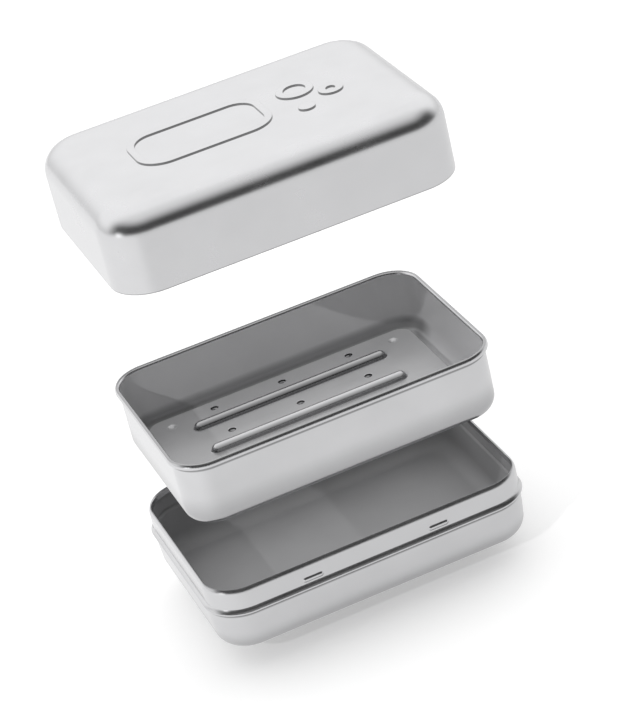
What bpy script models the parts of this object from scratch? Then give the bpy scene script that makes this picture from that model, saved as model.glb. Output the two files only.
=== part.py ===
"""Soap box of pressed sheet metal: a base, a drain tray that hangs in it and a lift-off lid.

Units are metres and +Z is up. The base stands on z = 0 with its long side along X. The tray and the
lid are shown lifted straight up from their seats, as in the photograph.
"""
import math

import bmesh
import bpy
from mathutils import Matrix

# Sheet and fits
SHEET = 0.0005
SEAT_GAP = 0.0003
TRAY_GAP = 0.0004
LID_GAP = 0.0006

# Base
BASE_LENGTH = 0.1100
BASE_WIDTH = 0.0756
BASE_CORNER = 0.0125
BASE_HEIGHT = 0.0245
BASE_FOOT_RADIUS = 0.0060
BASE_DRAFT = 0.0004
HEM_THICKNESS = 0.0012
HEM_DEPTH = 0.0022

# Bead round the base, on which the lid rests
NECK_HEIGHT = 0.0085
BEAD_RISE = 0.0010
BEAD_HALF = 0.0013
BEAD_GROOVE_SHARE = 0.6

# Lugs on the base's neck, which grip the lid
LUG_LENGTH = 0.0070
LUG_WIDTH = 0.0018
LUG_RISE = 0.0003
LUG_SPACING_SHARE = 0.4
LUG_CLEARANCE = 0.0005

# Drain tray, whose foot hangs clear of the base's floor
TRAY_CLEARANCE = 0.0019
FLOOR_RISE = 0.0050
TRAY_FOOT_RADIUS = 0.0050
GUTTER_WIDTH = 0.0050
GUTTER_ROUND = 0.0006
LIP_RISE = 0.0012
LIP_HEIGHT = 0.0015
LIP_INNER_ROUND = 0.0007

# Ribs, drain holes with punched collars, and pips in the tray's floor. They are spread as shares of
# the tray's length or width.
RIB_COUNT = 3
RIB_PITCH_SHARE = 0.2376
RIB_LENGTH_SHARE = 0.6461
RIB_RADIUS = 0.0022
HOLE_COLUMNS = 3
HOLE_PITCH_SHARE = 0.2285
HOLE_DIAMETER = 0.0025
COLLAR_DROP = 0.0010
PIP_SPREAD_SHARES = (0.7509, 0.6685)
PIP_RADIUS = 0.0018
PIP_DEPTH = 0.0007

# Lid
LID_HEIGHT = 0.0257
LID_TOP_RADIUS = 0.0080

# Raised picture on the lid: a bar of soap and its bubbles
EMBLEM_RISE = 0.0008
BAR_LENGTH = 0.0440
BAR_WIDTH = 0.0260
BAR_CORNER = 0.0090
BAR_SHIFT = -0.0120
LINE_WIDTH = 0.0024
BUBBLE_DIAMETER = 0.0120
BUBBLE_SHIFT_X = 0.0215
BUBBLE_SHIFT_Y = 0.0050
# Each bubble's size, and its place along and across the lid, as shares of the first bubble's
BUBBLE_SHARES = ((1.0, 1.0, 1.0), (0.66, 1.42, -0.6), (0.45, 0.93, -1.9))

# Lifts of the exploded view, from each piece's seat: the base's height and some air
TRAY_AIR = 0.0205
LID_AIR = 0.0455

# Counts of straight pieces in each kind of curve
CORNER_STEPS = 8
FILLET_STEPS = 5
ROUND_STEPS = 4
BUBBLE_STEPS = 5
# How far a cutter or a welded piece reaches past the face that it meets
OVERRUN = 0.0010
# Part of a half-round section that is kept below its very top
CROWN_SHARE = 0.92

# Sizes worked out from those above
BEAD_HEIGHT = BASE_HEIGHT - NECK_HEIGHT
RIM_OPENING = 2 * HEM_THICKNESS
TRAY_LENGTH = BASE_LENGTH - RIM_OPENING - 2 * TRAY_GAP
TRAY_WIDTH = BASE_WIDTH - RIM_OPENING - 2 * TRAY_GAP
TRAY_CORNER = BASE_CORNER - HEM_THICKNESS - TRAY_GAP
LID_OFFSET = LID_GAP + SHEET
LID_LENGTH = BASE_LENGTH + 2 * LID_OFFSET
LID_WIDTH = BASE_WIDTH + 2 * LID_OFFSET
LID_CORNER = BASE_CORNER + LID_OFFSET
# The lid's inner edge meets the bead's curved top this far above the bead's middle
BEAD_SEAT = BEAD_HALF * math.sqrt(1 - min(LID_GAP / BEAD_RISE, 1) ** 2)
LID_SEAT = BEAD_HEIGHT + BEAD_SEAT + SEAT_GAP
LUG_HEIGHT = BEAD_HEIGHT + BEAD_HALF + LUG_CLEARANCE + LUG_WIDTH / 2
LUG_SPACING = BASE_LENGTH * LUG_SPACING_SHARE
TRAY_SEAT = BASE_HEIGHT + SEAT_GAP + LIP_HEIGHT
TRAY_DEPTH = TRAY_SEAT - SHEET - TRAY_CLEARANCE
TRAY_FLOOR_DEPTH = TRAY_DEPTH - FLOOR_RISE
RIB_PITCH = TRAY_WIDTH * RIB_PITCH_SHARE
RIB_LENGTH = TRAY_LENGTH * RIB_LENGTH_SHARE
HOLE_PITCH = TRAY_LENGTH * HOLE_PITCH_SHARE
TRAY_LIFT = BASE_HEIGHT + TRAY_AIR
LID_LIFT = BASE_HEIGHT + LID_AIR
TRAY_TOP = TRAY_SEAT + TRAY_LIFT
LID_BOTTOM = LID_SEAT + TRAY_LIFT + LID_LIFT


def clear_scene():
    for old in list(bpy.data.objects):
        bpy.data.objects.remove(old, do_unlink=True)


def metal(name, colour, roughness):
    """A bare pressed metal."""
    material = bpy.data.materials.new(name)
    material.use_nodes = True
    shader = material.node_tree.nodes["Principled BSDF"]
    shader.inputs["Base Color"].default_value = (*colour, 1.0)
    shader.inputs["Metallic"].default_value = 1.0
    shader.inputs["Roughness"].default_value = roughness
    return material


def arc(centre_inset, centre_height, radius_inset, radius_height, start, end, steps):
    """Points of an elliptical arc in a section, its angles in degrees from the inset direction."""
    points = []
    for step in range(steps + 1):
        angle = math.radians(start + (end - start) * step / steps)
        inset = centre_inset + radius_inset * math.cos(angle)
        height = centre_height + radius_height * math.sin(angle)
        points.append((inset, height))
    return points


def outline(length, width, radius, steps=CORNER_STEPS):
    """A rounded rectangle, counter-clockwise seen from above."""
    half_x = length / 2 - radius
    half_y = width / 2 - radius
    points = []
    for quarter, (side_x, side_y) in enumerate(((1, 1), (-1, 1), (-1, -1), (1, -1))):
        for step in range(steps + 1):
            angle = math.radians(90) * (quarter + step / steps)
            x = side_x * half_x + radius * math.cos(angle)
            y = side_y * half_y + radius * math.sin(angle)
            points.append((x, y))
    return points


def swept(name, plan, section, steps=CORNER_STEPS, turn=None):
    """A closed solid: the section, as inset and height, runs round the plan's rounded rectangle."""
    length, width, radius = plan
    mesh = bmesh.new()
    rings = []
    for inset, height in section:
        corners = outline(length - 2 * inset, width - 2 * inset, radius - inset, steps)
        rings.append([mesh.verts.new((x, y, height)) for x, y in corners])
    count = len(rings[0])
    for lower, upper in zip(rings, rings[1:]):
        for index in range(count):
            after = (index + 1) % count
            mesh.faces.new((lower[index], lower[after], upper[after], upper[index]))
    mesh.faces.new(rings[0])
    mesh.faces.new(rings[-1])
    bmesh.ops.remove_doubles(mesh, verts=mesh.verts, dist=SHEET / 1000)
    if turn:
        bmesh.ops.transform(mesh, matrix=turn, verts=mesh.verts)
    bmesh.ops.recalc_face_normals(mesh, faces=mesh.faces)
    data = bpy.data.meshes.new(name)
    mesh.to_mesh(data)
    mesh.free()
    piece = bpy.data.objects.new(name, data)
    bpy.context.collection.objects.link(piece)
    return piece


def join(pieces):
    """Put separate solids into one object."""
    data = bmesh.new()
    for piece in pieces:
        piece.data.transform(Matrix.Translation(piece.location))
        data.from_mesh(piece.data)
    keep = pieces[0]
    for piece in pieces[1:]:
        bpy.data.objects.remove(piece, do_unlink=True)
    keep.location = (0, 0, 0)
    data.to_mesh(keep.data)
    data.free()
    return keep


def combine(target, tool, operation):
    """Weld the tool's solids to the target, or cut them out of it."""
    tool.hide_render = True
    tool.display_type = "WIRE"
    tool.parent = target
    step = target.modifiers.new(tool.name, "BOOLEAN")
    step.operation = operation
    step.solver = "EXACT"
    step.object = tool


def finish(piece, material):
    piece.data.materials.append(material)
    piece.data.shade_smooth()
    piece.data.set_sharp_from_angle(angle=math.radians(35))


def bead_arc(inset, rise, half, downwards):
    """The section of the bead: a half-round that stands out from the wall."""
    start, end = (-90, -270) if not downwards else (90, 270)
    return arc(inset, BEAD_HEIGHT, rise, half, start, end, 2 * ROUND_STEPS)


def base_section():
    outer_foot = arc(BASE_FOOT_RADIUS + BASE_DRAFT, BASE_FOOT_RADIUS, BASE_FOOT_RADIUS,
                     BASE_FOOT_RADIUS, 270, 180, FILLET_STEPS)
    rim_radius = HEM_THICKNESS / 2
    rim = arc(rim_radius, BASE_HEIGHT - rim_radius, rim_radius, rim_radius, 180, 0, ROUND_STEPS)
    hem_end = [(HEM_THICKNESS, BASE_HEIGHT - HEM_DEPTH),
               (SHEET, BASE_HEIGHT - HEM_DEPTH - HEM_THICKNESS + SHEET)]
    groove = bead_arc(SHEET, BEAD_RISE * BEAD_GROOVE_SHARE, BEAD_HALF - SHEET / 2, True)
    inner_radius = BASE_FOOT_RADIUS - SHEET
    inner_foot = arc(BASE_FOOT_RADIUS + BASE_DRAFT, BASE_FOOT_RADIUS, inner_radius,
                     inner_radius, 180, 270, FILLET_STEPS)
    outer_bead = bead_arc(0, BEAD_RISE, BEAD_HALF, False)
    return outer_foot + outer_bead + rim + hem_end + groove + inner_foot


def lug_section():
    """A half-round lug's outline narrows towards its crown; its foot stays inside the neck's wall."""
    crown = arc(LUG_WIDTH / 2, 0, -LUG_WIDTH / 2, LUG_RISE, 0, 90 * CROWN_SHARE, ROUND_STEPS)
    return [(0, -SHEET / 2)] + crown


def lugs():
    pieces = []
    for side in (-1, 1):
        turn = Matrix.Rotation(math.radians(-90 * side), 4, "X")
        for end in (-1, 1):
            lug = swept("lugs", (LUG_LENGTH, LUG_WIDTH, LUG_WIDTH / 2), lug_section(), ROUND_STEPS, turn)
            lug.location = (end * LUG_SPACING / 2, side * BASE_WIDTH / 2, LUG_HEIGHT)
            pieces.append(lug)
    return join(pieces)


def build_base(material):
    base = swept("base", (BASE_LENGTH, BASE_WIDTH, BASE_CORNER), base_section())
    combine(base, lugs(), "UNION")
    finish(base, material)
    return base


def lip_section():
    """The tray's rolled lip, from the wall's outside over the top to its inside."""
    radius = LIP_HEIGHT / 2
    outer = arc(radius - LIP_RISE, -radius, radius, radius, 270, 90, 2 * ROUND_STEPS)
    inner = arc(SHEET - LIP_INNER_ROUND, -LIP_INNER_ROUND, LIP_INNER_ROUND, LIP_INNER_ROUND,
                90, 0, ROUND_STEPS)
    return [(0, -LIP_HEIGHT)] + outer + inner


def tray_section():
    """Heights run down from the lip's top. The floor is raised inside a gutter."""
    riser = SHEET + GUTTER_WIDTH
    under = [(riser + SHEET, -TRAY_FLOOR_DEPTH - SHEET)]
    under += arc(riser + SHEET - GUTTER_ROUND, -TRAY_DEPTH + GUTTER_ROUND, GUTTER_ROUND,
                 GUTTER_ROUND, 0, -90, ROUND_STEPS)
    foot_height = TRAY_FOOT_RADIUS - TRAY_DEPTH
    outer_foot = arc(TRAY_FOOT_RADIUS, foot_height, TRAY_FOOT_RADIUS, TRAY_FOOT_RADIUS,
                     270, 180, FILLET_STEPS)
    inner_radius = TRAY_FOOT_RADIUS - SHEET
    inner_foot = arc(TRAY_FOOT_RADIUS, foot_height, inner_radius, inner_radius, 180, 270, FILLET_STEPS)
    edge = arc(riser + GUTTER_ROUND, -TRAY_FLOOR_DEPTH - GUTTER_ROUND, GUTTER_ROUND,
               GUTTER_ROUND, 180, 90, ROUND_STEPS)
    return under + outer_foot + lip_section() + inner_foot + [(riser, SHEET - TRAY_DEPTH)] + edge


def rib_rows():
    return [RIB_PITCH * (row - (RIB_COUNT - 1) / 2) for row in range(RIB_COUNT)]


def hole_rows():
    return [RIB_PITCH * (row - RIB_COUNT / 2) for row in range(RIB_COUNT + 1)]


def centred(count, pitch):
    return [pitch * (index - (count - 1) / 2) for index in range(count)]


def half_round(name, length, radius, foot, x, y, level):
    """A half-round bar or dome with round ends, its flat side at the level given."""
    section = [(0, -foot)] + arc(radius, 0, -radius, radius, 0, 90 * CROWN_SHARE, ROUND_STEPS)
    piece = swept(name, (length, 2 * radius, radius), section, ROUND_STEPS)
    piece.location = (x, y, level)
    return piece


def ribs(name, shrink, foot):
    """The ribs' outsides, or their hollow undersides when shrink is the sheet's thickness."""
    pieces = []
    for y in rib_rows():
        pieces.append(half_round(name, RIB_LENGTH - 2 * shrink, RIB_RADIUS - shrink, foot, 0, y,
                                 -TRAY_FLOOR_DEPTH))
    return join(pieces)


def drain_posts(name, radius, bottom, top):
    """Round posts where the drain holes are: their collars, or the cutters that bore them."""
    pieces = []
    for y in hole_rows():
        for x in centred(HOLE_COLUMNS, HOLE_PITCH):
            post = swept(name, (2 * radius, 2 * radius, radius), [(0, bottom), (0, top)], ROUND_STEPS)
            post.location = (x, y, 0)
            pieces.append(post)
    return join(pieces)


def pips(name, radius, top, bottom):
    """Cones for the pips pressed down near the floor's corners."""
    pieces = []
    section = [(PIP_DEPTH, bottom), (0, top)]
    length_share, width_share = PIP_SPREAD_SHARES
    for side_x, side_y in ((-1, -1), (-1, 1), (1, -1), (1, 1)):
        pip = swept(name, (2 * radius, 2 * radius, radius), section, ROUND_STEPS)
        pip.location = (side_x * TRAY_LENGTH * length_share / 2, side_y * TRAY_WIDTH * width_share / 2, 0)
        pieces.append(pip)
    return join(pieces)


def build_tray(material):
    tray = swept("drain_tray", (TRAY_LENGTH, TRAY_WIDTH, TRAY_CORNER), tray_section())
    floor = -TRAY_FLOOR_DEPTH
    combine(tray, pips("pip_outsides", PIP_RADIUS, floor - SHEET / 2, floor - SHEET - PIP_DEPTH), "UNION")
    combine(tray, pips("pip_insides", PIP_RADIUS - SHEET / 2, floor + SHEET / 2, floor - PIP_DEPTH),
            "DIFFERENCE")
    combine(tray, ribs("rib_outsides", 0, SHEET / 2), "UNION")
    combine(tray, ribs("rib_undersides", SHEET, SHEET + OVERRUN), "DIFFERENCE")
    collar_foot = floor - SHEET - COLLAR_DROP
    hole_radius = HOLE_DIAMETER / 2
    collars = drain_posts("collars", hole_radius + SHEET, collar_foot, floor - SHEET / 2)
    combine(tray, collars, "UNION")
    bores = drain_posts("drain_holes", hole_radius, collar_foot - OVERRUN, floor + OVERRUN)
    combine(tray, bores, "DIFFERENCE")
    finish(tray, material)
    tray.location.z = TRAY_TOP
    return tray


def lid_section():
    """From the outside of the top, down the wall, round its lower edge and back up inside."""
    outer_top = arc(LID_TOP_RADIUS, LID_HEIGHT - LID_TOP_RADIUS, LID_TOP_RADIUS, LID_TOP_RADIUS,
                    90, 180, 2 * FILLET_STEPS)
    edge_radius = SHEET / 2
    edge = arc(edge_radius, edge_radius, edge_radius, edge_radius, 180, 360, ROUND_STEPS)
    inner_radius = LID_TOP_RADIUS - SHEET
    inner_top = arc(LID_TOP_RADIUS, LID_HEIGHT - LID_TOP_RADIUS, inner_radius, inner_radius,
                    180, 90, 2 * FILLET_STEPS)
    return outer_top + edge + inner_top


def raised_line(length, width, radius, x, y):
    """A closed raised line on the lid's top, round a rounded rectangle."""
    foot = LID_HEIGHT - SHEET / 2
    top = LID_HEIGHT + EMBLEM_RISE
    section = [(0, foot), (0, top)]
    solid = swept("emblem", (length, width, radius), section, BUBBLE_STEPS)
    if min(length, width) > 3 * LINE_WIDTH:
        hole_section = [(LINE_WIDTH, foot - OVERRUN), (LINE_WIDTH, top + OVERRUN)]
        hole = swept("emblem_hole", (length, width, radius), hole_section, BUBBLE_STEPS)
        combine(solid, hole, "DIFFERENCE")
        solid = baked(solid, hole)
    solid.location = (x, y, 0)
    return solid


def baked(piece, tool):
    """The piece with its cut applied, and without its cutter."""
    bpy.context.view_layer.update()
    shape = piece.evaluated_get(bpy.context.evaluated_depsgraph_get())
    data = bpy.data.meshes.new_from_object(shape)
    piece.modifiers.clear()
    piece.data = data
    bpy.data.objects.remove(tool, do_unlink=True)
    return piece


def emblem():
    """A bar of soap with three bubbles beside it."""
    pieces = [raised_line(BAR_LENGTH, BAR_WIDTH, BAR_CORNER, BAR_SHIFT, 0)]
    for size_share, x_share, y_share in BUBBLE_SHARES:
        size = BUBBLE_DIAMETER * size_share
        pieces.append(raised_line(size, size, size / 2, BUBBLE_SHIFT_X * x_share, BUBBLE_SHIFT_Y * y_share))
    return join(pieces)


def build_lid(material):
    lid = swept("lid", (LID_LENGTH, LID_WIDTH, LID_CORNER), lid_section())
    combine(lid, emblem(), "UNION")
    finish(lid, material)
    lid.location.z = LID_BOTTOM
    return lid


def main():
    clear_scene()
    build_base(metal("base metal", (0.66, 0.66, 0.67), 0.30))
    build_tray(metal("tray metal", (0.70, 0.70, 0.71), 0.28))
    build_lid(metal("lid metal", (0.74, 0.74, 0.75), 0.32))


main()
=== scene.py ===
"""Soap box of satin sheet metal, shown taken apart: the lid and the drain tray float above the base."""
import math

import bmesh
import bpy
from mathutils import Matrix, Vector
from mathutils.geometry import delaunay_2d_cdt

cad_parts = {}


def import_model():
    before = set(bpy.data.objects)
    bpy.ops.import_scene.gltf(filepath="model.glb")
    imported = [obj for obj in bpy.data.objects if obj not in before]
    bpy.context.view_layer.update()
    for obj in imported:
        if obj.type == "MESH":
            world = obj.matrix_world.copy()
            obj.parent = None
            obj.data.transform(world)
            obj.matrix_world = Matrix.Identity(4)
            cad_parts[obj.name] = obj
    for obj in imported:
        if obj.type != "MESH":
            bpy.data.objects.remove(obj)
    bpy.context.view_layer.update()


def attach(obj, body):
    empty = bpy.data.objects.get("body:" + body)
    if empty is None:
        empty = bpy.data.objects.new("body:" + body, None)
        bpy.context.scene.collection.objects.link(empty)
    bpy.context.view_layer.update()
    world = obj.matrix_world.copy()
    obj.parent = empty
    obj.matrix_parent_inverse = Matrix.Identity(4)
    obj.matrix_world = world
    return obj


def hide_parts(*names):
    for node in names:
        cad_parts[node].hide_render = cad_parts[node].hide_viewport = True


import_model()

# Sizes repeated from part.py, in metres
SHEET = 0.0005
BASE = (0.1100, 0.0756, 0.0125)
BASE_HEIGHT = 0.0245
BASE_FOOT = 0.0060
DRAFT = 0.0004
HEM = 0.0012
HEM_DEPTH = 0.0022
BEAD_Z = 0.0160
BEAD_RISE = 0.0010
BEAD_HALF = 0.0013
LUG = (0.0070, 0.0018)
LUG_X = 0.0220
LUG_Z = 0.0187
TRAY = (0.1068, 0.0724, 0.0109)
TRAY_TOP = 0.0713
TRAY_DEPTH = 0.0239
FLOOR_DEPTH = 0.0189
TRAY_FOOT = 0.0050
GUTTER = 0.0050
GUTTER_ROUND = 0.0006
RIB_Y = (-0.0172, 0.0, 0.0172)
RIB = (0.0690, 0.0044)
HOLE_X = (-0.0244, 0.0, 0.0244)
HOLE_Y = (-0.0258, -0.0086, 0.0086, 0.0258)
HOLE_RADIUS = 0.00125
COLLAR_DROP = 0.0010
PIP = (0.0401, 0.0242)
PIP_RADIUS = 0.0018
PIP_DEPTH = 0.0007
LID = (0.1122, 0.0778, 0.0136)
LID_BOTTOM = 0.13234
LID_HEIGHT = 0.0257
LID_ROUND = 0.0080
EMBLEM_RISE = 0.0008
EMBLEM_LINE = 0.0024
BAR = (0.0440, 0.0260, 0.0090)
BAR_X = -0.0120
BUBBLES = ((0.0215, 0.0050, 0.0120), (0.03053, -0.0030, 0.00792), (0.0200, -0.0095, 0.0054))

# Depth of the fine groove under the lip and under the bead
GROOVE = 0.00008

# A point this far past a curve's end keeps the flat beside it flat in the reflections
HOLD = 0.00012

# Width of the small bevels on the drain holes and on the lid's picture
BEVEL = 0.00012

# Paths for trace, from the inside, and how far below the top they start.
# The rim's goes over the fold and down the long outer slope.
# The lip's goes over the crest, down the long outer slope, round the nose and back to the wall.
RIM_START = 0.00073
RIM_PATH = [(0.0008, 20), (0.0012, 26), (0.0001, 98), (0.0041, 22), (0.0012, 14)]
LIP_START = 0.00087
LIP_PATH = [(0.0006, 20), (0.0014, 26), (0.0002, 36), 0.00060, (0.0001, 62), (0.0027, 22),
            (0.0006, 14), 0.00040, (0.00015, 100), 0.00073, (0.0002, -100)]

# How far below the top a rim still counts as its crest
CREST = 0.0001
BACK_CREST = 0.00013

# The inside foot of the tray's wall is an ellipse of this height
INNER_FOOT = 0.0080

# A rib's half-round starts at this angle in degrees, above a small flare
RIB_START = 12
RIB_FLARE = 0.0003

# Strengths of the painted shade, from 0 to 1: towards a wall's foot, as a dark reflection along a crest, in
# the drain holes, on the tray's floor, in the dimples and along the lid's edge
FOOT_SHADE = 0.42
CREST_SHADE = 0.6
HOLE_SHADE = 0.8
FLOOR_SHADE = 0.3
PIP_SHADE = 0.2
EDGE_SHADE = 0.9

# A rib's painted shade from its foot up to the crown, and how many of them are its foot
RIB_SHADES = (0.5, 0.65, 0.65, 0.65, 0.65, 0.6, 0.55, 0.5, 0.4, 0.28, 0.2)
RIB_FOOT = 6

# Scales of the soft cloud and the fine grain in the metal, and how uneven its shine is
CLOUD = 70
GRAIN = 2600
UNEVEN = 0.035

# The ground lies below the base, which floats as in the photograph
GROUND_Z = -0.008
GROUND_SIZE = 3
GROUND_GLOW = 0.31

# The side lights' width in degrees and direction
SUN_ANGLE = 0.8
SIDE = (1.21, 0.875, -1.0)
SIDE_ON_BASE = (1.21, 0.6, -1.0)

# The camera fitted to the photograph: azimuth, elevation and roll, place, and focal length in pixels
CAMERA_TURN = (-15.138, 28.697, -14.02)
CAMERA_SHIFT = (0.00977, 0.06314, 0.8594)
FOCAL = 2586.0
PHOTO_WIDTH = 629.0
SENSOR = 36.0


def arc(inset, height, rx, rz, start, end, steps):
    """Section points, as inset and height, on an ellipse between two angles in degrees."""
    points = []
    for step in range(steps + 1):
        a = math.radians(start + (end - start) * step / steps)
        points.append((inset + rx * math.cos(a), height + rz * math.sin(a)))
    return points


def rounded_path(corners, steps=6):
    """Section points along a polyline whose corners are (inset, height, radius)."""
    points = []
    for i, (x, z, r) in enumerate(corners):
        here = Vector((x, z))
        if i in (0, len(corners) - 1) or r == 0:
            points.append((x, z))
            continue
        before = (Vector(corners[i - 1][:2]) - here).normalized()
        after = (Vector(corners[i + 1][:2]) - here).normalized()
        half = before.angle(after) / 2
        reach = r / math.tan(half)
        centre = here + (before + after).normalized() * (r / math.sin(half))
        a = here + before * reach - centre
        b = here + after * reach - centre
        turn = a.angle_signed(b)
        for step in range(steps + 1):
            spot = centre + Matrix.Rotation(-turn * step / steps, 2) @ a
            points.append((spot.x, spot.y))
    return points


def trace(start, heading, moves):
    """Section points along a path from a point; a move is a radius and a turn in degrees, or a length."""
    x, z = start
    points = [(x, z)]
    for move in moves:
        if isinstance(move, float):
            a = math.radians(heading)
            run = Vector((math.cos(a), math.sin(a)))
            here = Vector((x, z))
            if move > 6 * HOLD:
                points += [tuple(here + run * HOLD), tuple(here + run * (move - HOLD))]
            x, z = here + run * move
            points.append((x, z))
            continue
        radius, turn = move
        side = 1 if turn > 0 else -1
        a = math.radians(heading - 90 * side)
        cx, cz = x - radius * math.cos(a), z - radius * math.sin(a)
        steps = max(2, math.ceil(abs(turn) / 7))
        for step in range(1, steps + 1):
            b = a + math.radians(turn) * step / steps
            points.append((cx + radius * math.cos(b), cz + radius * math.sin(b)))
        x, z = points[-1]
        heading += turn
    return points


def chain(*runs):
    """Joins runs of section points; each straight between two runs gets a point near both its ends."""
    points = list(runs[0])
    for run in runs[1:]:
        a, b = Vector(points[-1]), Vector(run[0])
        gap = (b - a).length
        if gap > 6 * HOLD:
            step = (b - a) * (HOLD / gap)
            points += [tuple(a + step), tuple(b - step)]
        points += run
    return points


def outline(length, width, radius, steps=20, straight=8):
    """A rounded rectangle, counter-clockwise from above, with held straights."""
    hx, hy = length / 2 - radius, width / 2 - radius
    points = []
    for quarter, (sx, sy) in enumerate(((1, 1), (-1, 1), (-1, -1), (1, -1))):
        for step in range(steps + 1):
            a = math.radians(90) * (quarter + step / steps)
            points.append(Vector((sx * hx + radius * math.cos(a), sy * hy + radius * math.sin(a))))
        nx, ny = ((-1, 1), (-1, -1), (1, -1), (1, 1))[quarter]
        run = Vector(((nx - sx) * hx, (ny - sy) * hy))
        if run.length < 1e-9:
            points.pop()
        elif straight and run.length > 3 * HOLD:
            near = HOLD / run.length
            start = points[-1]
            for share in [near] + [n / straight for n in range(1, straight)] + [1 - near]:
                points.append(start + run * share)
    return points


def mark(mesh, name, rings, value=1.0):
    """Paints a mark on rings for the material: inside for the softer finish there, which is also darkened as
    painted shade, or the other layer for painted shade and painted dark reflections.
    """
    layer = mesh.verts.layers.float[name]
    for vert in (v for loop in rings for v in loop):
        vert[layer] = value


def paint_shade_at(mesh, rings, section, points):
    """Paints shade into the colour at a section's points, as dark lines along grooves, crests and edges."""
    for loop, point in zip(rings, section):
        if point in points:
            mark(mesh, "bore", [loop], points[point])


def rise(value, start, end):
    """From 0 to 1 in a soft step between two values."""
    t = min(max((value - start) / (end - start), 0.0), 1.0)
    return t * t * (3 - 2 * t)


def shade_foot(mesh, loops, start, end):
    """Paints shade on a wall's outside, darker towards its foot, between two heights."""
    bore = mesh.verts.layers.float["bore"]
    for vert in (v for loop in loops for v in loop):
        vert[bore] = FOOT_SHADE * rise(vert.co.z, start, end)


def new_mesh():
    """An empty mesh with the two layers for the marks."""
    mesh = bmesh.new()
    for name in ("inside", "bore"):
        mesh.verts.layers.float.new(name)
    return mesh


def ring(mesh, points, height, centre=(0, 0)):
    return [mesh.verts.new((p[0] + centre[0], p[1] + centre[1], height)) for p in points]


def skin(mesh, rings):
    """Joins each ring to the next with faces."""
    for lower, upper in zip(rings, rings[1:]):
        count = len(lower)
        for i in range(count):
            j = (i + 1) % count
            mesh.faces.new((lower[i], lower[j], upper[j], upper[i]))


def inside(spot, loop):
    """True if the spot lies inside the loop, seen from above."""
    odd = False
    for i, here in enumerate(loop):
        there = loop[i - 1]
        if (here.y > spot.y) != (there.y > spot.y):
            if spot.x < here.x + (there.x - here.x) * (spot.y - here.y) / (there.y - here.y):
                odd = not odd
    return odd


def plate(mesh, outer, inner=()):
    """Fills the flat area between an outer ring and the rings inside it."""
    verts, edges = [], []
    for loop in (outer, *inner):
        first = len(verts)
        verts += loop
        edges += [(first + i, first + (i + 1) % len(loop)) for i in range(len(loop))]
    found = delaunay_2d_cdt([vert.co.xy for vert in verts], edges, [], 1, 1e-8)
    holes = [[vert.co.xy for vert in loop] for loop in inner]
    for face in found[2]:
        corners = [verts[found[3][i][0]] for i in face]
        middle = sum((vert.co.xy for vert in corners), Vector((0, 0))) / 3
        if not any(inside(middle, hole) for hole in holes):
            mesh.faces.new(corners)


def sweep(mesh, plan, section, centre=(0, 0), **detail):
    """Runs a section round a rounded rectangle; gives its rings."""
    length, width, radius = plan
    rings = []
    for inset, height in section:
        points = outline(length - 2 * inset, width - 2 * inset, radius - inset, **detail)
        rings.append(ring(mesh, points, height, centre))
    skin(mesh, rings)
    return rings


def make(name, mesh, material, lift, node):
    """Turns the mesh into a smooth piece that stands for a CAD node and rides on its body."""
    bmesh.ops.remove_doubles(mesh, verts=mesh.verts, dist=1e-7)
    bmesh.ops.recalc_face_normals(mesh, faces=mesh.faces)
    bmesh.ops.translate(mesh, verts=mesh.verts, vec=(0, 0, lift))
    data = bpy.data.meshes.new(name)
    mesh.to_mesh(data)
    mesh.free()
    data.materials.append(material)
    data.shade_smooth()
    data.set_sharp_from_angle(angle=math.radians(50))
    piece = bpy.data.objects.new(name, data)
    bpy.context.collection.objects.link(piece)
    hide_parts(node)
    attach(piece, node)
    return piece


# Base
def bead(inset, out, half, downwards):
    """The bead's section: two slopes that meet in a round nose."""
    nose = out * 0.45
    corners = [(inset, BEAD_Z - half, 0.0), (inset - out, BEAD_Z - half * 0.30, nose),
               (inset - out, BEAD_Z + half * 0.05, nose), (inset, BEAD_Z + half, 0.0)]
    path = rounded_path(corners)
    return path[::-1] if downwards else path


def base_mesh():
    mesh = new_mesh()
    foot = arc(BASE_FOOT + DRAFT, BASE_FOOT, BASE_FOOT, BASE_FOOT, 270, 180, 14)
    rim = trace((HEM, BASE_HEIGHT - RIM_START), 90, RIM_PATH)
    rim = [(max(inset, 0.0), height) for inset, height in rim[::-1]]
    hem = [(HEM, BASE_HEIGHT - HEM_DEPTH), (SHEET, BASE_HEIGHT - HEM_DEPTH - HEM + SHEET)]
    inner = arc(BASE_FOOT + DRAFT, BASE_FOOT, BASE_FOOT - SHEET, BASE_FOOT - SHEET, 180, 270, 14)
    hold = BASE_FOOT + DRAFT + HOLD
    under_bead = BEAD_Z - BEAD_HALF - 0.0001
    # Painted shade: a dark line in the groove under the bead
    line = {(0.0, under_bead - 0.0005): 0.0, (GROOVE, under_bead): 0.8}
    shoulder = list(line)
    wall = [(DRAFT * (1 - n / 6) ** 2, BASE_FOOT + (under_bead - BASE_FOOT) * n / 7) for n in range(1, 7)]
    foot_rings = chain([(hold, 0.0)] + foot) + wall
    outside = chain(foot_rings, shoulder + bead(0, BEAD_RISE, BEAD_HALF, False), rim, hem[:1])
    bead_within = bead(SHEET, BEAD_RISE * 0.6, BEAD_HALF - SHEET / 2, True)
    within = chain(hem[1:], bead_within, inner + [(hold, SHEET)])
    rings = sweep(mesh, BASE, outside + within)
    # The insides get their softer finish and painted shade
    mark(mesh, "inside", rings[len(outside):])
    # Painted shade towards the foot, and a painted dark reflection along the rim's crest
    shade_foot(mesh, rings[:len(foot_rings)], 0.0085, 0.0015)
    crest = {point: CREST_SHADE for point in rim if point[1] > BASE_HEIGHT - CREST}
    paint_shade_at(mesh, rings, outside, {**line, **crest})
    mesh.faces.new(rings[0])
    mesh.faces.new(rings[-1])
    for side in (-1, 1):
        for end in (-1, 1):
            add_lug(mesh, side, end)
    return mesh


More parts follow.
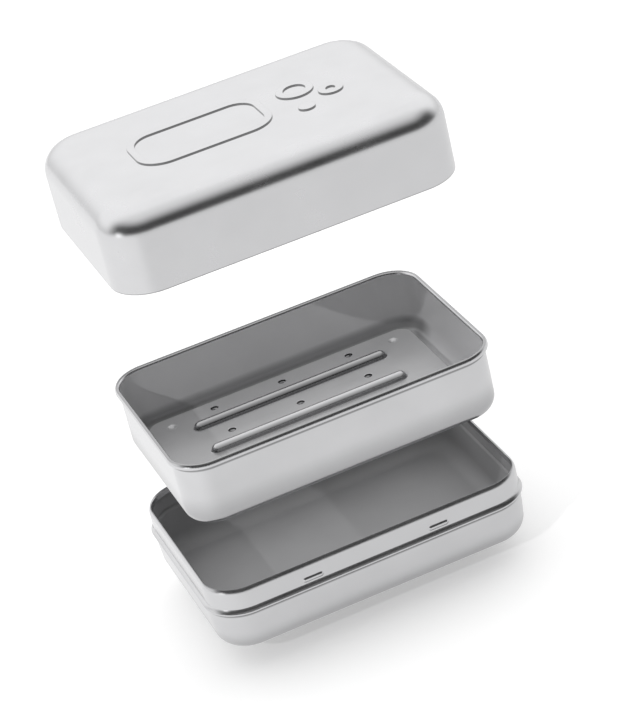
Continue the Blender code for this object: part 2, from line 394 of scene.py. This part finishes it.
def add_lug(mesh, side, end):
    """A pressed lug: a soft-edged dash that stands out of the neck."""
    slope = trace((0.0, 0.0), 32, [0.00065, (0.0002, -32)])
    section = [(0.0, -SHEET / 2)] + slope
    part = new_mesh()
    rings = sweep(part, (LUG[0], LUG[1], LUG[1] / 2), section, steps=8, straight=0)
    part.faces.new(rings[0])
    part.faces.new(rings[-1])
    place = Matrix.Translation((end * LUG_X, side * BASE[1] / 2, LUG_Z))
    turn = Matrix.Rotation(math.radians(-90 * side), 4, "X")
    bmesh.ops.transform(part, matrix=place @ turn, verts=part.verts)
    spare = bpy.data.meshes.new("spare")
    part.to_mesh(spare)
    part.free()
    mesh.from_mesh(spare)
    bpy.data.meshes.remove(spare)


# Drain tray
def shade_gutter(mesh, loops):
    """Paints shade on the gutter's wall in a band, darkest at the front. The right end stays bright, without
    painted shade.
    """
    bore, soft = mesh.verts.layers.float["bore"], mesh.verts.layers.float["inside"]
    for vert in (v for loop in loops for v in loop):
        x, y, z = vert.co
        band = 0.75 * rise(-z, 0.0155, 0.0190) * (1 - 0.6 * rise(-z, 0.0206, 0.0216))
        front = rise(-y, 0.024, 0.030)
        right = rise(x, 0.040, 0.048) * (1 - rise(y, 0.018, 0.028))
        vert[bore] = (band + (0.85 - band) * front) * (1 - right)
        vert[soft] = right + (0.7 - 0.7 * right) * (1 - front)


def tray_mesh():
    mesh = new_mesh()
    riser = SHEET + GUTTER
    floor = -FLOOR_DEPTH
    under_edge = riser + SHEET
    under = [(under_edge, floor - SHEET)]
    gutter_out = arc(under_edge - GUTTER_ROUND, -TRAY_DEPTH + GUTTER_ROUND,
                     GUTTER_ROUND, GUTTER_ROUND, 0, -90, 6)
    foot_z = TRAY_FOOT - TRAY_DEPTH
    foot = arc(TRAY_FOOT, foot_z, TRAY_FOOT, TRAY_FOOT, 270, 180, 14)
    lip = trace((SHEET, -LIP_START), 90, LIP_PATH)[::-1]
    # Painted shade: a grey line on the wall under the lip's nose
    shade = {(0.0, -0.0031): 0.0, (0.0, -0.0028): 0.7, (0.0, -0.0022): 0.8}
    inner_foot = arc(TRAY_FOOT, SHEET - TRAY_DEPTH + INNER_FOOT, TRAY_FOOT - SHEET, INNER_FOOT, 180, 270, 18)
    trough = [(riser, SHEET - TRAY_DEPTH)]
    edge = arc(riser + GUTTER_ROUND, floor - GUTTER_ROUND, GUTTER_ROUND, GUTTER_ROUND, 180, 90, 6)
    hold = [(riser + GUTTER_ROUND + HOLD, floor)]
    wall = [(0.0, foot_z + (-0.0034 - foot_z) * n / 8) for n in range(1, 8)]
    foot_rings = chain(under, gutter_out, foot) + wall
    outside = chain(foot_rings, list(shade), lip)
    within = chain(lip[-1:], inner_foot, trough, edge + hold)[1:]
    rings = sweep(mesh, TRAY, outside + within)
    # Painted shade, darker towards the foot
    shade_foot(mesh, rings[:len(foot_rings)], -0.0115, -0.0205)
    # The insides get their softer finish and painted shade
    wall = rings[len(outside):len(outside) + 4]
    mark(mesh, "inside", wall + rings[-3:])
    # The front wall's inside keeps the outside's finish, which draws the ribs' dark sides
    front = TRAY[2] * 0.4 - TRAY[1] / 2
    mark(mesh, "inside", [[vert for vert in loop if vert.co.y < front] for loop in wall], 0.0)
    # Painted dark reflection along the lip's crest
    paint_shade_at(mesh, rings, outside, {**shade, **{point: CREST_SHADE for point in lip if point[1] > -CREST}})
    # Painted shade: along the back the crest is painted darkest, as a dark outline
    bore = mesh.verts.layers.float["bore"]
    for vert in (v for loop in rings for v in loop if v.co.z > -BACK_CREST):
        vert[bore] += (1.0 - vert[bore]) * rise(vert.co.y, 0.028, 0.034)
    # Painted shade in the gutter
    shade_gutter(mesh, rings[len(outside) + 4:-len(edge) - 1])
    tops, bottoms = [], []
    for y in RIB_Y:
        top, bottom = rib(mesh, y)
        tops.append(top)
        bottoms.append(bottom)
    for y in HOLE_Y:
        for x in HOLE_X:
            top, bottom = drain_hole(mesh, x, y)
            tops.append(top)
            bottoms.append(bottom)
    for x in (-PIP[0], PIP[0]):
        for y in (-PIP[1], PIP[1]):
            top, bottom = pip(mesh, x, y)
            tops.append(top)
            bottoms.append(bottom)
    mark(mesh, "inside", tops)
    # Painted shade darkens the floor and its edge
    mark(mesh, "bore", tops + rings[-3:], FLOOR_SHADE)
    plate(mesh, rings[-1], tops)
    plate(mesh, rings[0], bottoms)
    return mesh


def bump(mesh, plan, profile, centre, **detail):
    """A raised or sunken form: rings from its edge to its crown, and a small flat cap."""
    rings = sweep(mesh, plan, profile, centre, **detail)
    mesh.faces.new(rings[-1])
    return rings


def rib_profile(radius, level, flare):
    """From the floor through a small flare up to a half-round crown."""
    crown = arc(radius, level, -radius, radius, RIB_START, 88, 16)
    foot = (crown[0][0] - flare, level)
    low = (crown[0][0] - flare * 0.35, level + radius * math.sin(math.radians(RIB_START)) * 0.22)
    return [(foot[0] - HOLD, level), foot, low] + crown


def rib(mesh, y):
    length, width = RIB
    radius = width / 2
    loops = []
    for shrink, level in ((0.0, -FLOOR_DEPTH), (SHEET, -FLOOR_DEPTH - SHEET)):
        r = radius - shrink * 0.9
        profile = rib_profile(r, level, RIB_FLARE)
        plan = (length - 2 * shrink, 2 * r, r)
        rings = bump(mesh, plan, profile, (0, y), steps=10, straight=10)
        # Painted shade: the outer ribs are painted darker than the middle one, and each rib darker on its
        # front and at its foot
        shade_level = 0.35 if y else 0.1
        bore = mesh.verts.layers.float["bore"]
        for i, loop in enumerate(rings[1:]):
            mark(mesh, "bore", [loop], RIB_SHADES[i] if i < len(RIB_SHADES) else shade_level)
            front = 0.8 if i < RIB_FOOT else 0.5
            for vert in loop:
                vert[bore] = max(vert[bore], shade_level + front * rise(y - vert.co.y, 0.0, r * 0.7))
        loops.append(rings[0])
    return loops


def drain_hole(mesh, x, y):
    """A hole punched downwards, so that a short collar stands below the floor."""
    r = HOLE_RADIUS
    top, bottom = -FLOOR_DEPTH, -FLOOR_DEPTH - SHEET
    b = BEVEL
    foot = bottom - COLLAR_DROP
    section = [(-b - HOLD, top), (-b, top), (-b * 0.3, top - b * 0.3), (0, top - b), (0, foot),
               (-SHEET, foot), (-SHEET, bottom)]
    rings = sweep(mesh, (2 * r, 2 * r, r), section, (x, y), steps=7, straight=0)
    # Painted shade on the hole's bevel and wall
    mark(mesh, "bore", rings[2:5], HOLE_SHADE)
    return rings[0], rings[-1]


def pip(mesh, x, y):
    """A round dimple pressed down from the floor."""
    loops = []
    for r, top in ((PIP_RADIUS, -FLOOR_DEPTH), (PIP_RADIUS + SHEET * 0.4, -FLOOR_DEPTH - SHEET)):
        bowl = []
        for step in range(9):
            t = step / 8
            drop = PIP_DEPTH * (0.5 - 0.5 * math.cos(math.pi * min(1.0, t * 1.25)))
            bowl.append((r * t * 0.97, top - drop))
        bowl.insert(0, (-HOLD, top))
        rings = bump(mesh, (2 * r, 2 * r, r), bowl, (x, y), steps=7, straight=0)
        # The dimple gets the insides' finish with painted shade, and more painted shade
        mark(mesh, "inside", rings)
        mark(mesh, "bore", rings, PIP_SHADE)
        loops.append(rings[0])
    return loops


# Lid
def lid_mesh():
    mesh = new_mesh()
    top_z = LID_HEIGHT
    inner_r = LID_ROUND - SHEET
    outer = arc(LID_ROUND, top_z - LID_ROUND, LID_ROUND, LID_ROUND, 90, 180, 22)
    edge = arc(SHEET / 2, SHEET / 2, SHEET / 2, SHEET / 2, 180, 360, 8)
    inner = arc(LID_ROUND, top_z - LID_ROUND, inner_r, inner_r, 180, 90, 16)
    hold = LID_ROUND + HOLD
    outside = chain([(hold, top_z)] + outer, edge)
    within = chain(edge[-1:], inner + [(hold, top_z - SHEET)])[1:]
    rings = sweep(mesh, LID, outside + within)
    # The insides get their softer finish and painted shade
    mark(mesh, "inside", rings[len(outside):])
    # Painted shade: a dark line along the lid's bottom edge
    paint_shade_at(mesh, rings, outside, {point: EDGE_SHADE for point in edge})
    mesh.faces.new(rings[-1])
    loops, islands = [], []
    lines = [(*BAR, BAR_X, 0.0)] + [(d, d, d / 2, x, y) for x, y, d in BUBBLES]
    for length, width, radius, x, y in lines:
        outer_loop, inner_loop = raised_line(mesh, (length, width, radius), (x, y))
        loops.append(outer_loop)
        if inner_loop:
            islands.append(inner_loop)
    plate(mesh, rings[0], loops)
    for island in islands:
        mesh.faces.new(island)
    return mesh


def raised_line(mesh, plan, centre):
    """A raised line on the lid's top. A small bubble is a solid dot."""
    foot, top = LID_HEIGHT, LID_HEIGHT + EMBLEM_RISE
    b = BEVEL
    section = [(-HOLD, foot), (0, foot), (0, top - b), (b * 0.3, top - b * 0.3), (b, top), (b + HOLD, top)]
    solid = plan[0] < 3 * EMBLEM_LINE
    if not solid:
        w = EMBLEM_LINE
        section += [(w - b - HOLD, top), (w - b, top), (w - b * 0.3, top - b * 0.3), (w, top - b),
                    (w, foot), (w + HOLD, foot)]
    rings = sweep(mesh, plan, section, centre, steps=12, straight=0 if plan[0] == plan[1] else 4)
    # Painted shade on the raised lines' sides
    mark(mesh, "bore", rings[1:3] + rings[9:11])
    if solid:
        mesh.faces.new(rings[-1])
        return rings[0], None
    return rings[0], rings[-1]


# Materials
def satin(name, colour, roughness, inside_roughness, inside_metallic, inside_shade_tone):
    """Satin pressed metal: fine grain and soft uneven shine, and a more matt finish on the insides. Painted
    shade darkens its colour where marked and on the insides.
    """
    material = bpy.data.materials.new(name)
    material.use_nodes = True
    nodes, links = material.node_tree.nodes, material.node_tree.links
    shader = nodes["Principled BSDF"]
    place = nodes.new("ShaderNodeTexCoord")

    def blend(name, low, high):
        source = nodes.new("ShaderNodeAttribute")
        source.attribute_name = name
        node = nodes.new("ShaderNodeMapRange")
        links.new(source.outputs["Fac"], node.inputs["Value"])
        for key, value in (("To Min", low), ("To Max", high)):
            if isinstance(value, float):
                node.inputs[key].default_value = value
            else:
                links.new(value, node.inputs[key])
        return node.outputs["Result"]

    def noise(scale, detail):
        node = nodes.new("ShaderNodeTexNoise")
        node.inputs["Scale"].default_value = scale
        node.inputs["Detail"].default_value = detail
        links.new(place.outputs["Object"], node.inputs["Vector"])
        return node

    def span(source, low, high):
        node = nodes.new("ShaderNodeMapRange")
        node.inputs["From Min"].default_value = 0.15
        node.inputs["From Max"].default_value = 0.85
        node.inputs["To Min"].default_value = low
        node.inputs["To Max"].default_value = high
        links.new(source, node.inputs["Value"])
        return node

    cloud = noise(CLOUD, 3)
    grain = noise(GRAIN, 2)
    tone = span(cloud.outputs["Fac"], 0.95, 1.05)
    mix = nodes.new("ShaderNodeMix")
    mix.data_type = "RGBA"
    mix.blend_type = "MULTIPLY"
    mix.inputs["Factor"].default_value = 1.0
    mix.inputs["A"].default_value = (*colour, 1)
    # Painted shade: the colour is darker where marked, down to 0.3
    shade = nodes.new("ShaderNodeMath")
    shade.operation = "MULTIPLY"
    links.new(tone.outputs["Result"], shade.inputs[0])
    links.new(blend("bore", 1.0, 0.3), shade.inputs[1])
    # Painted shade: the insides' colour is darker
    shade_level = nodes.new("ShaderNodeMath")
    shade_level.operation = "MULTIPLY"
    links.new(shade.outputs[0], shade_level.inputs[0])
    links.new(blend("inside", 1.0, inside_shade_tone), shade_level.inputs[1])
    links.new(shade_level.outputs[0], mix.inputs["B"])
    links.new(mix.outputs["Result"], shader.inputs["Base Color"])
    shine = span(cloud.outputs["Fac"], roughness - UNEVEN, roughness + UNEVEN)
    soft = span(cloud.outputs["Fac"], inside_roughness - UNEVEN, inside_roughness + UNEVEN)
    links.new(blend("inside", shine.outputs["Result"], soft.outputs["Result"]), shader.inputs["Roughness"])
    links.new(blend("inside", 1.0, inside_metallic), shader.inputs["Metallic"])
    relief = nodes.new("ShaderNodeBump")
    relief.inputs["Strength"].default_value = 0.02
    relief.inputs["Distance"].default_value = 0.0001
    links.new(grain.outputs["Fac"], relief.inputs["Height"])
    links.new(relief.outputs["Normal"], shader.inputs["Normal"])
    return material


# Studio
def world():
    """A white studio with a dark band above the camera, which draws the dark lines on the rims.

    It is a little brighter high up at the back, and a small bright patch at the left lights the corners.
    """
    sky = bpy.data.worlds.new("studio")
    bpy.context.scene.world = sky
    sky.use_nodes = True
    nodes, links = sky.node_tree.nodes, sky.node_tree.links
    background = nodes["Background"]
    place = nodes.new("ShaderNodeTexCoord")
    split = nodes.new("ShaderNodeSeparateXYZ")
    links.new(place.outputs["Generated"], split.inputs["Vector"])

    def ramp(source, a, b, to_a, to_b, kind="SMOOTHSTEP"):
        node = nodes.new("ShaderNodeMapRange")
        node.interpolation_type = kind
        for key, value in (("From Min", a), ("From Max", b), ("To Min", to_a), ("To Max", to_b)):
            node.inputs[key].default_value = value
        links.new(source, node.inputs["Value"])
        return node.outputs["Result"]

    def maths(operation, a, b):
        node = nodes.new("ShaderNodeMath")
        node.operation = operation
        for socket, value in zip(node.inputs, (a, b)):
            if isinstance(value, (int, float)):
                socket.default_value = value
            else:
                links.new(value, socket)
        return node.outputs["Value"]

    above = ramp(split.outputs["Z"], 0.0, 0.1, 0, 1)
    below_top = ramp(split.outputs["Z"], 0.52, 0.9, 1, 0, "LINEAR")
    bend = ramp(split.outputs["X"], -1.0, 0.0, 0.1, 0, "LINEAR")
    front = ramp(maths("SUBTRACT", split.outputs["Y"], bend), -0.35, 0.25, 1, 0)
    dark = maths("MULTIPLY", maths("MULTIPLY", above, below_top), front)
    level = maths("SUBTRACT", 1.0, maths("MULTIPLY", dark, 0.945))
    top = ramp(split.outputs["Z"], 0.0, 0.42, -0.12, 0.25)
    level = maths("ADD", level, maths("MULTIPLY", top, maths("SUBTRACT", 1.0, front)))
    spot = nodes.new("ShaderNodeVectorMath")
    spot.operation = "DOT_PRODUCT"
    links.new(place.outputs["Generated"], spot.inputs[0])
    spot.inputs[1].default_value = (-0.94, -0.33, 0.06)
    level = maths("ADD", level, ramp(spot.outputs["Value"], 0.982, 0.996, 0, 1.6))
    path = nodes.new("ShaderNodeLightPath")
    pick = nodes.new("ShaderNodeMix")
    pick.data_type = "FLOAT"
    links.new(path.outputs["Is Camera Ray"], pick.inputs[0])
    links.new(level, pick.inputs[2])
    pick.inputs[3].default_value = 1.0
    links.new(pick.outputs[0], background.inputs["Strength"])
    background.inputs["Color"].default_value = (1, 1, 1, 1)


def floor():
    """A white floor that keeps the soft shadow."""
    data = bpy.data.meshes.new("floor")
    mesh = bmesh.new()
    bmesh.ops.create_grid(mesh, x_segments=1, y_segments=1, size=GROUND_SIZE)
    mesh.to_mesh(data)
    mesh.free()
    plane = bpy.data.objects.new("floor", data)
    plane.location.z = GROUND_Z
    bpy.context.collection.objects.link(plane)
    material = bpy.data.materials.new("floor")
    material.use_nodes = True
    nodes, links = material.node_tree.nodes, material.node_tree.links
    shader = nodes["Principled BSDF"]
    shader.inputs["Roughness"].default_value = 1.0
    shader.inputs["Specular IOR Level"].default_value = 0.0
    shader.inputs["Emission Color"].default_value = (1, 1, 1, 1)
    path = nodes.new("ShaderNodeLightPath")
    # The metal sees the floor with a weaker shadow
    paint = nodes.new("ShaderNodeMix")
    paint.data_type = "RGBA"
    paint.inputs["A"].default_value = (0.85, 0.85, 0.85, 1)
    paint.inputs["B"].default_value = (0.45, 0.45, 0.45, 1)
    links.new(path.outputs["Is Glossy Ray"], paint.inputs["Factor"])
    links.new(paint.outputs["Result"], shader.inputs["Base Color"])
    # The metal sees it glow, more on the left
    place = nodes.new("ShaderNodeTexCoord")
    side = nodes.new("ShaderNodeVectorMath")
    side.operation = "DOT_PRODUCT"
    links.new(place.outputs["Object"], side.inputs[0])
    side.inputs[1].default_value = (-1.0, 0.5, 0.0)
    glow = nodes.new("ShaderNodeMapRange")
    glow.interpolation_type = "SMOOTHSTEP"
    for key, value in (("From Min", -0.06), ("From Max", 0.12), ("To Min", 0.54), ("To Max", 0.72)):
        glow.inputs[key].default_value = value
    links.new(side.outputs["Value"], glow.inputs["Value"])
    glossy = nodes.new("ShaderNodeMath")
    glossy.operation = "MULTIPLY"
    links.new(path.outputs["Is Glossy Ray"], glossy.inputs[0])
    links.new(glow.outputs["Result"], glossy.inputs[1])
    strength = nodes.new("ShaderNodeMath")
    strength.operation = "MULTIPLY_ADD"
    links.new(path.outputs["Is Camera Ray"], strength.inputs[0])
    strength.inputs[1].default_value = GROUND_GLOW
    links.new(glossy.outputs[0], strength.inputs[2])
    links.new(strength.outputs[0], shader.inputs["Emission Strength"])
    data.materials.append(material)
    return plane


def sun(name, strength, direction, pieces):
    """A side light for the given pieces alone. It leaves no highlight, only hard shadows."""
    lamp = bpy.data.lights.new(name, "SUN")
    lamp.energy = strength
    lamp.angle = math.radians(SUN_ANGLE)
    thing = bpy.data.objects.new(name, lamp)
    thing.rotation_euler = Vector(direction).to_track_quat("-Z", "Y").to_euler()
    thing.visible_glossy = False
    bpy.context.collection.objects.link(thing)
    lit = bpy.data.collections.new("lit by the " + name)
    for piece in pieces:
        lit.objects.link(piece)
    thing.light_linking.receiver_collection = lit


def camera():
    """The camera fitted to the photograph: its turn and place are in the row frame."""
    azimuth, elevation, roll = (math.radians(a) for a in CAMERA_TURN)
    level = math.cos(elevation)
    back = Vector((math.sin(azimuth) * level, -math.cos(azimuth) * level, math.sin(elevation)))
    forward = -back
    right = forward.cross(Vector((0, 0, 1))).normalized()
    down = forward.cross(right).normalized()
    turned_right = right * math.cos(roll) - down * math.sin(roll)
    turned_down = right * math.sin(roll) + down * math.cos(roll)
    shift = Vector(CAMERA_SHIFT)
    place = -(turned_right * shift.x + turned_down * shift.y + forward * shift.z)
    lens = bpy.data.cameras.new("camera")
    lens.sensor_fit = "HORIZONTAL"
    lens.sensor_width = SENSOR
    lens.lens = FOCAL / PHOTO_WIDTH * SENSOR
    thing = bpy.data.objects.new("camera", lens)
    up = -turned_down
    thing.matrix_world = Matrix.Translation(place) @ Matrix((turned_right, up, back)).transposed().to_4x4()
    bpy.context.collection.objects.link(thing)
    bpy.context.scene.camera = thing


camera()
# The last number of each finish is the insides' colour under painted shade
base_metal = satin("base metal", (0.60, 0.60, 0.61), 0.24, 0.6, 0.35, 0.62)
base = make("base_shell", base_mesh(), base_metal, 0.0, "base")
tray_metal = satin("tray metal", (0.61, 0.61, 0.62), 0.22, 0.36, 0.58, 0.83)
tray = make("tray_shell", tray_mesh(), tray_metal, TRAY_TOP, "drain_tray")
lid_metal = satin("lid metal", (0.63, 0.63, 0.64), 0.26, 0.5, 0.6, 0.9)
lid = make("lid_shell", lid_mesh(), lid_metal, LID_BOTTOM, "lid")
# The ribs' crests see the studio past the lid
lid.visible_glossy = False
# Soft light reaches the base and the floor past the pieces that float above
tray.visible_diffuse = lid.visible_diffuse = False
world()
ground = floor()
sun("side light", 1.7, SIDE, (tray, lid))
sun("side light on the base", 0.6, SIDE_ON_BASE, (base,))
sun("side light on the floor", 0.5, SIDE, (ground,))
bpy.context.scene.view_settings.view_transform = "Standard"
